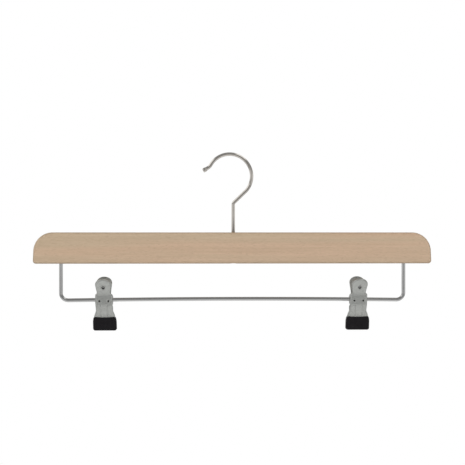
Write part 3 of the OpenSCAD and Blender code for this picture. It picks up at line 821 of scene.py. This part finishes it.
def jaw_rows(ear_x, shoulder_turn, rise):
    """Rows of a jaw's half outline from the blade's end to the top of the pad: across, along,
    the outline's normal, the turn of its edge, the flange, and for the ears the flange's end."""
    pad_s = (PAD_Z + rise - WALL_TOP_Z) / cos(PAD_TILT) + WALL_TOP_Z
    corner = Vector((ear_x - CORNER_R, EAR_TOP_S))
    out = Vector((cos(shoulder_turn), sin(shoulder_turn)))
    slant = ear_x - CORNER_R + (CORNER_R + WAIST_R) * out.x - WAIST_R - WAIST_X
    waist = corner + (CORNER_R + WAIST_R) * out + max(0.05, slant) * Vector((-out.y, out.x))
    reach = waist - Vector((0, pad_s))
    pad_from = math.degrees(math.atan2(reach.y, reach.x) + math.acos((PAD_R + WAIST_R) / reach.length))
    rows = [(BLADE_X, mix(BLADE_END_S, FLARE_S - FLARE_L, i / 24), 0, 0, BLADE_FLANGE, None)
            for i in range(24)]
    for i in range(24):
        u = 1 - i / 24
        s = FLARE_S - FLARE_L * u
        normal = math.degrees(math.atan(6 * (BLADE_X - BODY_X) / FLARE_L * u * (1 - u)))
        turn = 90 * ease((s - EDGE_TURN_S) / EDGE_TURN_L)
        flange = mix(BLADE_FLANGE, BODY_FLANGE, ease((s - FLANGE_GROWS_S) / FLANGE_GROWS_L))
        rows.append((mix(BODY_X, BLADE_X, ease(u)), s, normal, turn, flange, None))
    rows += [(BODY_X, mix(FLARE_S, JOG_S, i / 8), 0, 90, BODY_FLANGE, None) for i in range(8)]

    def ear_end(angle):
        return Vector((0, EAR_R * cos(angle), EAR_R * sin(angle)))

    def corner_row(part):
        a = shoulder_turn * part
        return (corner.x + CORNER_R * cos(a), corner.y + CORNER_R * sin(a), a, 90,
                mix(SHOULDER_FLANGE, PAD_FLANGE, part))

    jog_end = rolled((ear_x, JOG_END_S, 0, 90, BODY_FLANGE), 2, False)
    for i in range(14):
        s = mix(JOG_S, EAR_FOOT_S, i / 14)
        part = max(0, (s - JOG_END_S) / (EAR_FOOT_S - JOG_END_S))
        end = jog_end.lerp(ear_end(-EAR_SPAN), part) if part > 0 else None
        rows.append((mix(BODY_X, ear_x, ease((s - JOG_S) / JOG_L)), s, 0, 90, BODY_FLANGE, end))
    for i in range(33):
        end = ear_end(EAR_SPAN * (i / 16 - 1))
        rows.append((ear_x, mix(EAR_FOOT_S, EAR_TOP_S, i / 32), 0, 90, EAR_FLANGE, end))
    corner_end = rolled(corner_row(1 / 3), 2, False)
    for i in range(1, 13):
        end = ear_end(EAR_SPAN).lerp(corner_end, i / 4) if i < 4 else None
        rows.append((*corner_row(i / 12), end))
    for i in range(13):
        a = mix(shoulder_turn, pad_from, i / 12)
        rows.append((waist.x - WAIST_R * cos(a), waist.y - WAIST_R * sin(a), a, 90, PAD_FLANGE, None))
    low = Vector((rows[-1][0], rows[-1][1]))
    high = Vector((PAD_R * cos(pad_from), pad_s + PAD_R * sin(pad_from)))
    for i in range(1, 14):
        p = low.lerp(high, i / 14)
        rows.append((p.x, p.y, pad_from, 90, PAD_FLANGE, None))
    for i in range(49):
        a = mix(pad_from, 90, i / 48)
        crown = PAD_CROWN if a > 0 else 1
        normal = math.degrees(math.atan2(sin(a), crown * cos(a)))
        rows.append((PAD_R * cos(a), pad_s + crown * PAD_R * sin(a), normal, 90, PAD_FLANGE, None))
    return rows


# The pressed edge of the sheet is softened: how far it draws in, and at what part of its thickness
SOFT_EDGE = [(0.2, 0), (0.06, 0.12), (0, 0.35), (0, 0.65), (0.06, 0.88), (0.2, 1)]
BEND_STEPS = 7
FACE_COLUMNS = 52


def jaw_section(row):
    """The right edge of a row, from the outer face round its flange to the inner face."""
    outer = [rolled(row, i / BEND_STEPS, False) for i in range(BEND_STEPS + 1)]
    inner = [rolled(row, i / BEND_STEPS, True) for i in range(BEND_STEPS + 1)]
    end, back = rolled(row, 2, False), rolled(row, 2, True)
    skin = back - end
    if row[5] is not None:
        end = Vector((end.x, row[5].y, row[5].z))
    ahead = (end - outer[-1]).normalized()
    edge = [end + part * skin - pull * ahead for pull, part in SOFT_EDGE]
    return outer + edge + inner[::-1]


def bump_at(distance, radius):
    return ease(1 - distance / radius)


def dimple_distance(x, z):
    return math.hypot(abs(x) - DIMPLE_X, z - DIMPLE_Z)


def hole_distance(x, z):
    return math.hypot(x, (z - SPRING_HOLE_Z) / cos(PAD_TILT))


def pressed(x, z):
    """How far the sheet is pressed outwards: dimples by the pivot, ribs on the body, a collar round
    the spring's hole."""
    dimples = -DIMPLE_DEPTH * bump_at(dimple_distance(x, z), DIMPLE_R)
    dimples += DIMPLE_RIM_RISE * bump_at(abs(dimple_distance(x, z) - DIMPLE_RIM_R), DIMPLE_RIM_W)
    ribs = BODY_RIB_RISE * bump_at(abs(abs(x) - BODY_RIB_X), BODY_RIB_W)
    ribs *= ease((z - BODY_RIB_FOOT_Z) / BODY_RIB_FADE) * ease((BODY_RIB_TOP_Z - z) / BODY_RIB_FADE)
    collar = COLLAR_RISE * bump_at(abs(hole_distance(x, z) - COLLAR_R), COLLAR_W)
    return dimples + ribs + collar


def recess_shading(x, z):
    """How dark a place of a jaw is painted, standing in for the shade in the dimples and the spring's hole.
    """
    return max(bump_at(dimple_distance(x, z) - 0.5, 0.8), bump_at(hole_distance(x, z) - 1.2, 0.7))


def jaw(name, ear_x, shoulder_turn, rise):
    """A stamped jaw, lofted row by row as one bent sheet, then pierced."""
    loops = []
    for row in jaw_rows(ear_x, shoulder_turn, rise):
        right = jaw_section(row)
        s = row[1] - RIM_R * sin(row[2])
        half = row[0] - RIM_R * cos(row[2])
        inner, outer = [], []
        for i in range(1, FACE_COLUMNS):
            x = half * (1 - 2 * i / FACE_COLUMNS)
            push = pressed(x, on_face(x, s, 0).z)
            inner.append(on_face(x, s, SHEET - push))
            outer.append(on_face(-x, s, -pressed(-x, on_face(x, s, 0).z)))
        left = [Vector((-p.x, p.y, p.z)) for p in reversed(right)]
        loops.append(right + inner + left + outer)
    n = len(loops[0])
    faces = [(j * n + k, j * n + (k + 1) % n, (j + 1) * n + (k + 1) % n, (j + 1) * n + k)
             for j in range(len(loops) - 1) for k in range(n)]
    sheet = solid(name, [p for loop in loops for p in loop], faces + [list(range(n))])
    hole = on_face(0, (SPRING_HOLE_Z - WALL_TOP_Z) / cos(PAD_TILT) + WALL_TOP_Z, 0)
    bore = turned("bore", [(BORE_R, -BORE_REACH), (BORE_R, BORE_REACH)], (0, 0, 0), "X", 64)
    reach = SPRING_DRILL_REACH
    drill = turned("spring_hole", [(SPRING_HOLE_R, -reach), (SPRING_HOLE_R, reach)], (0, 0, 0), "Y", 32)
    for vertex in drill.data.vertices:
        y, z = vertex.co.y, vertex.co.z
        vertex.co.y = y * cos(PAD_TILT) - z * sin(PAD_TILT) + hole.y * MM
        vertex.co.z = y * sin(PAD_TILT) + z * cos(PAD_TILT) + hole.z * MM
    cut(sheet, bore, drill)
    # Painted shade in the dimples and the spring's hole, stored on the points for the finish.
    soil = sheet.data.attributes.new("soil", "FLOAT", "POINT")
    soil.data.foreach_set("value", [recess_shading(v.co.x / MM, v.co.z / MM) for v in sheet.data.vertices])
    return sheet


def smooth_line(points, steps):
    """A smooth line through given points."""
    ends = [points[0] * 2 - points[1]] + list(points) + [points[-1] * 2 - points[-2]]
    line = []
    for a, b, c, d in zip(ends, ends[1:], ends[2:], ends[3:]):
        for i in range(steps):
            t = i / steps
            line.append(0.5 * (2 * b + (c - a) * t + (2 * a - 5 * b + 4 * c - d) * t * t
                               + (3 * b - a - 3 * c + d) * t ** 3))
    return line + [points[-1]]


# A leg of the torsion spring, from its hook in the rear pad's hole to the coil
SPRING_LEG = [Vector(p) for p in (
    (0, 8.5, 11.8), (0, 7.9, 12.1), (0, 7.2, 12.3), (0, 6.6, 12), (0.2, 6.2, 11.3),
    (0.7, 5.7, 9.8), (1.6, 5, 7.7), (2.4, 4.5, 5.4), (2.8, 4.15, 2.8), (2.9, 4, 1.2))]
COIL_STEPS = 24


def torsion_spring(name):
    count = round(COIL_TURNS * COIL_STEPS)
    coil = []
    for i in range(count + 1):
        a = 360 * i / COIL_STEPS
        coil.append(Vector((COIL_W * (i / count - 0.5), -COIL_R * cos(a), -COIL_R * sin(a))))
    front = smooth_line([Vector((-p.x, -p.y, p.z)) for p in SPRING_LEG], 4)
    rear = smooth_line(SPRING_LEG, 4)[::-1]
    path = front[:-1] + coil[1:-1] + rear[1:]
    return wire(name, path, [SPRING_WIRE_R] * len(path), 14, "spring_steel")


def pivot_tube(name):
    """The hollow pivot pin, with both ends rolled over the ears."""
    round_r = TUBE_LIP / 2
    half = [(TUBE_R, 0), (TUBE_R, TUBE_HALF)]
    half += [tuple(p) for p in arc((TUBE_FLANGE_R - round_r, TUBE_HALF + round_r), round_r, -90, 90, 6)]
    half += [tuple(p) for p in arc((TUBE_BORE_R + TUBE_LIP, TUBE_HALF), TUBE_LIP, 90, 180, 6)]
    half += [(TUBE_BORE_R, 0)]
    profile = half + [(r, -h) for r, h in reversed(half[1:-1])]
    return turned_with_bore(name, profile, (0, 0, 0), "X")


def sleeve_outline(inset):
    """A sleeve's front outline, drawn in by inset, with a hollow top edge."""
    shoulder_z = SLEEVE_TOP_Z - SLEEVE_SHOULDER_L
    corners = [Vector(p) for p in (
        (-SLEEVE_X, SLEEVE_END_Z), (SLEEVE_X, SLEEVE_END_Z), (SLEEVE_X, shoulder_z),
        (SLEEVE_MOUTH_X, SLEEVE_TOP_Z), (-SLEEVE_MOUTH_X, SLEEVE_TOP_Z), (-SLEEVE_X, shoulder_z))]
    count = len(corners)
    normals = []
    for a, b in zip(corners, corners[1:] + corners[:1]):
        run = (b - a).normalized()
        normals.append(Vector((run.y, -run.x)))
    line = []
    for k in range(count):
        before, after = normals[k - 1], normals[k]
        core = corners[k] - SLEEVE_CORNER_R * (before + after) / (1 + before.dot(after))
        start = math.degrees(math.atan2(before.y, before.x))
        turn = (math.degrees(math.atan2(after.y, after.x)) - start) % 360
        line += arc(core, SLEEVE_CORNER_R - inset, start, start + turn, 8)
        if k == 3:
            left = Vector((-line[-1].x, line[-1].y))
            line += [line[-1].lerp(left, i / 16) for i in range(1, 16)]
    for p in line:
        if p.y > SLEEVE_TOP_Z - SLEEVE_DIP_BAND and abs(p.x) < SLEEVE_MOUTH_X:
            p.y -= SLEEVE_DIP * (1 - (p.x / SLEEVE_MOUTH_X) ** 2)
    return line


def sleeve(name):
    """The front jaw's soft sleeve: a rounded cap with a pocket for the blade and ribs where it grips."""
    outer = BLADE_OUT + SLEEVE_WALL
    soft, face = SLEEVE_SOFT, FACE_GAP + SLEEVE_LIP
    levels = [(soft - 0.35, FACE_GAP), (soft - 0.6, FACE_GAP + 0.08), (0.1, FACE_GAP + 0.22), (0, face)]
    levels += [(soft * (1 - cos(a)), outer - 1.4 * soft * (1 - sin(a))) for a in range(0, 91, 10)]
    rings = [[Vector((p.x, -out, p.y)) for p in sleeve_outline(inset)] for inset, out in levels]
    cap = stack(name, rings)
    depths = (SHEET + SEAT_GAP - BLADE_OUT, -BLADE_OUT - SEAT_GAP)
    pocket = block("pocket", BLADE_X + SEAT_GAP, depths, (-BLADE_Z, POCKET_TOP_Z))
    window = block("window", WINDOW_X, (DRILL_PAST, -face), (-BLADE_Z, WINDOW_TOP_Z))
    cut(cap, pocket, window)
    edge = cap.modifiers.new("soft edges", "BEVEL")
    edge.width = SLEEVE_EDGE_R * MM
    edge.segments = 3
    edge.limit_method = "ANGLE"
    edge.angle_limit = math.radians(50)
    settle(cap)
    profile = arc((0, 0), GRIP_RIB_R, 180, 0, 8)
    seat = -face - 0.02
    rib = stack("rib", [[Vector((x, seat + GRIP_RIB_RISE * p.y, GRIP_RIB_Z + p.x)) for p in profile]
                        for x in (-GRIP_RIB_X, GRIP_RIB_X)])
    grow(rib, ROWS, count=GRIP_RIB_COUNT, pitch=Vector((0, 0, GRIP_RIB_PITCH)) * MM, finish=SLEEVE_VINYL)
    join(cap, rib)
    return cap


def place(piece, x, turned_round=False, tilt=CLIP_TILT):
    """Sets a clip's piece, drawn about the pivot, at its place on the rod, facing forwards or back.
    The tilt moves each height sideways, so the round holes stay on the pivot's line."""
    lean = math.tan(math.radians(tilt if x < BAR_MIDDLE else -tilt))
    facing = -1 if turned_round else 1
    for vertex in piece.data.vertices:
        across, out, up = vertex.co
        vertex.co = Vector((across - up * lean + x * MM, facing * out, up + PIVOT_Z * MM))
    if turned_round:
        tidy(piece.data)


def clip(side):
    low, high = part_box(f"{side}_pivot_tube")
    x = (low.x + high.x) / 2 / MM
    tube = pivot_tube(f"{side}_pivot_pin")
    place(tube, x, tilt=0)
    hand_over(tube, f"{side}_tube", "rod_steel", f"{side}_pivot_tube", crease=50)
    spring = torsion_spring(f"{side}_coil_spring")
    place(spring, x)
    hand_over(spring, f"{side}_front", "spring_steel", f"{side}_torsion_spring", crease=50)
    for facing, (ear_x, shoulder, rise) in JAWS.items():
        body = f"{side}_{facing}"
        sheet = jaw(f"{body}_stamped_jaw", ear_x, shoulder, rise)
        place(sheet, x, facing == "rear")
        hand_over(sheet, body, "clip_steel", f"{body}_jaw")
        cap = sleeve(f"{body}_soft_sleeve")
        place(cap, x, facing == "rear")
        hand_over(cap, body, "sleeve_rubber", f"{body}_sleeve", crease=45)


# Studio and camera

def studio_world():
    """White to the camera, and an even pale light on surfaces. Metal sees a dim room with paler
    walls to the sides, a white backdrop behind the hanger and a window high on either side."""
    world = bpy.data.worlds.new("studio")
    bpy.context.scene.world = world
    world.use_nodes = True
    tree = Tree(world.node_tree)
    tree.tree.nodes.clear()
    path = tree.add("ShaderNodeLightPath").outputs
    way = tree.add("ShaderNodeSeparateXYZ", {0: tree.add("ShaderNodeTexCoord").outputs["Generated"]}).outputs
    sideways = tree.math("ABSOLUTE", way["X"])
    walls = tree.math("MULTIPLY", tree.ramp(sideways, 0.12, 0.36, 0, 0.7), tree.ramp(way["Z"], 0.4, 0.1))
    behind = tree.math("MULTIPLY", tree.ramp(way["Y"], 0.25, 0.7), tree.ramp(way["Z"], 0.7, 0.3))
    round_about = tree.math("ARCTAN2", way["Z"], way["X"])
    gaps = [tree.math("ABSOLUTE", tree.math("SUBTRACT", round_about, window))
            for window in (LEFT_WINDOW, RIGHT_WINDOW)]
    off_centre = tree.ramp(tree.math("ABSOLUTE", way["Y"]), 0.85, 0.7)
    seen = tree.ramp(tree.math("MINIMUM", *gaps), 0.18, 0.34, 1.05, 0)
    seen = tree.math("MULTIPLY", seen, off_centre)
    for part in (ROOM_GREY, walls, behind):
        seen = tree.math("MAXIMUM", seen, part)
    ambient = tree.ramp(way["Z"], -0.6, 0.8, 0.42, 0.22)
    mirrored = tree.math("MAXIMUM", path["Is Glossy Ray"], path["Is Transmission Ray"])
    seen = tree.math("MULTIPLY", mirrored, seen)
    ambient = tree.math("MULTIPLY", tree.math("SUBTRACT", 1.0, mirrored), ambient)
    white = tree.math("MAXIMUM", tree.math("ADD", seen, ambient), path["Is Camera Ray"])
    background = tree.add("ShaderNodeBackground", {"Color": (1, 1, 1, 1), "Strength": white})
    tree.feed(background.outputs[0], tree.add("ShaderNodeOutputWorld").inputs["Surface"])


def floor():
    """A pale floor below the hanger: the camera sees its shadow near by and plain white far away,
    and metal sees it bright underneath, with paler sides and a darker distance."""
    mesh = bpy.data.meshes.new("floor")
    corners = [(-1, -1), (1, -1), (1, 1), (-1, 1)]
    mesh.from_pydata([(x * FLOOR_HALF, y * FLOOR_HALF, FLOOR_Z) for x, y in corners], [], [(0, 1, 2, 3)])
    plane = link("floor", mesh)
    material = bpy.data.materials.new("pale_floor")
    material.use_nodes = True
    tree = Tree(material.node_tree)
    tree.tree.nodes.clear()
    path = tree.add("ShaderNodeLightPath").outputs
    place = tree.add("ShaderNodeTexCoord").outputs["Object"]
    far = tree.add("ShaderNodeVectorMath", {0: place}, operation="LENGTH").outputs["Value"]
    mirrored = tree.math("MAXIMUM", path["Is Glossy Ray"], path["Is Transmission Ray"])
    white = tree.math("MULTIPLY", path["Is Camera Ray"], tree.ramp(far, 0.25, 0.5))
    sideways = tree.math("ABSOLUTE", tree.add("ShaderNodeSeparateXYZ", {0: place}).outputs["X"])
    strength = tree.ramp(sideways, 0.5, 1.6, 0, 0.65)
    strength = tree.math("MAXIMUM", tree.ramp(far, 0.2, 1.6, 0.95, 0.1), strength)
    strength = tree.math("MAXIMUM", path["Is Camera Ray"], strength)
    paint = tree.add("ShaderNodeBsdfDiffuse", {"Color": (0.86, 0.86, 0.86, 1)}).outputs[0]
    glow = tree.add("ShaderNodeEmission", {"Strength": strength}).outputs[0]
    both = tree.add("ShaderNodeMixShader", {0: tree.math("MAXIMUM", white, mirrored)})
    tree.feed(paint, both.inputs[1])
    tree.feed(glow, both.inputs[2])
    tree.feed(both.outputs[0], tree.add("ShaderNodeOutputMaterial").inputs["Surface"])
    mesh.materials.append(material)


def softbox(name, place, size, watts):
    lamp = bpy.data.lights.new(name, "AREA")
    lamp.shape = "RECTANGLE"
    lamp.size, lamp.size_y = size
    lamp.energy = watts
    holder = bpy.data.objects.new(name, lamp)
    bpy.context.scene.collection.objects.link(holder)
    holder.location = place
    holder.rotation_euler = (CAMERA_TARGET - Vector(place)).to_track_quat("-Z", "Y").to_euler()
    holder.visible_glossy = False


def make_camera():
    data = bpy.data.cameras.new("camera")
    data.sensor_width = SENSOR_MM
    data.lens = FOCAL_PX / IMAGE_PX * SENSOR_MM
    camera = bpy.data.objects.new("camera", data)
    bpy.context.scene.collection.objects.link(camera)
    heading = Vector((math.sin(CAMERA_YAW), math.cos(CAMERA_YAW), 0))
    camera.location = CAMERA_TARGET - CAMERA_DISTANCE * heading
    camera.rotation_euler = heading.to_track_quat("-Z", "Y").to_euler()
    bpy.context.scene.camera = camera


wooden_bar()
swivel_hook()
hook_nut()
hook_washer()
trouser_rod()
clip("left")
clip("right")
studio_world()
floor()
softbox("key", (-1.2, -1.5, 1.0), (0.9, 0.9), 18.5)
softbox("fill", (1.4, -1.7, 0.4), (0.9, 0.9), 12.5)
softbox("front", (0.2, -2.2, -0.4), (1.6, 1.2), 14)
make_camera()
bpy.context.scene.view_settings.view_transform = "Standard"
